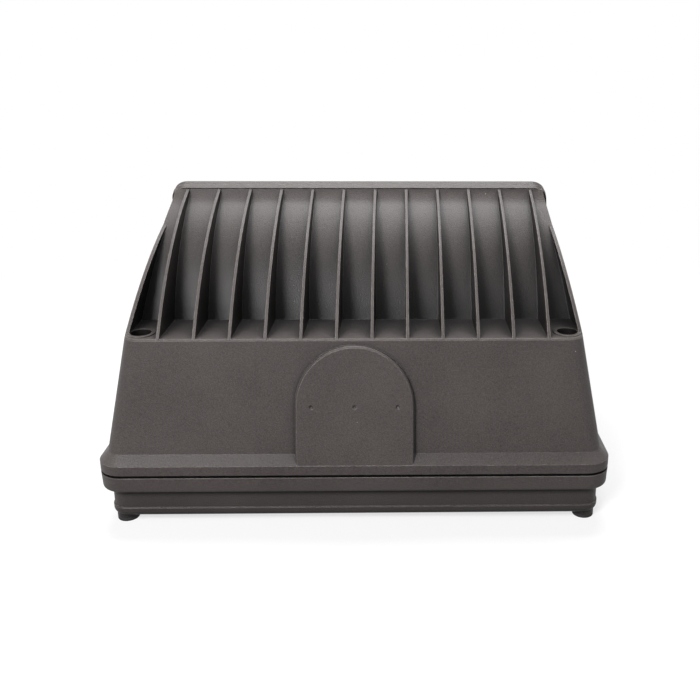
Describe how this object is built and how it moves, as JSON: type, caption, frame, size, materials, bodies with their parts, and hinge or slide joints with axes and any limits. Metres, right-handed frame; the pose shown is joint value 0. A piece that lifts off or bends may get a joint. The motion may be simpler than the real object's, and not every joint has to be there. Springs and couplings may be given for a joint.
{
  "type": "wall pack light",
  "caption": "Die-cast wall pack light with a finned curved top, sloped glass lens, hinged front housing and a shallow wiring box with feet for the wall.",
  "frame": {"origin": "middle of the footprint, on the plane of the four feet that meet the wall", "axes": "+X across the light, to the right in the picture; +Y down the wall when mounted; +Z out from the wall, up in the picture"},
  "size_m": [0.368, 0.2585, 0.2264],
  "materials": {
    "powder_coat": "fine sandy dark-bronze powder coat",
    "rubber": "matt black",
    "gasket_foam": "matt black silicone",
    "steel": "zinc plated",
    "terminal_plastic": "ivory moulded plastic",
    "ground_green": "green",
    "lens_glass": "clear tempered",
    "board_white": "white solder mask",
    "thermal_grey": "grey silicone sheet",
    "led_phosphor": "yellow phosphor",
    "reflector_white": "satin white",
    "driver_can": "white enamel",
    "lead_insulation": "PVC",
    "plug_plastic": "orange moulded plastic"
  },
  "bodies": {
    "back_box": {"back_box": "powder_coat", "foot_pads": "rubber", "housing_gasket": "gasket_foam", "conduit_plug": "powder_coat", "hinge_pins": "steel", "terminal_block": "terminal_plastic", "ground_screw": "ground_green"},
    "front_housing": {"front_housing": "powder_coat", "lens_frame": "powder_coat", "lens_glass": "lens_glass", "lens_gasket": "gasket_foam", "lens_frame_screws": "steel", "led_board": "board_white", "thermal_sheet": "thermal_grey", "led_chips": "led_phosphor", "reflector_tray": "reflector_white", "driver": "driver_can", "driver_bracket": "steel", "board_leads": "lead_insulation", "lead_grommet": "rubber", "supply_leads": "lead_insulation", "supply_plug": "plug_plastic"},
    "captive_left": {"captive_screw_left": "steel", "screw_seal_left": "rubber", "screw_retainer_left": "steel"},
    "captive_right": {"captive_screw_right": "steel", "screw_seal_right": "rubber", "screw_retainer_right": "steel"}
  },
  "joints": [
    {"name": "housing_hinge", "type": "hinge", "parent": "back_box", "child": "front_housing", "pos_m": [0, 0.12525, 0.041], "axis": [-1, 0, 0], "range_deg": [0, 100]},
    {"name": "captive_screw_left_drive", "type": "slide", "parent": "front_housing", "child": "captive_left", "axis": [0, 0, -1], "range_m": [0, 0.0151]},
    {"name": "captive_screw_right_drive", "type": "slide", "parent": "front_housing", "child": "captive_right", "axis": [0, 0, -1], "range_m": [0, 0.0151]}
  ]
}
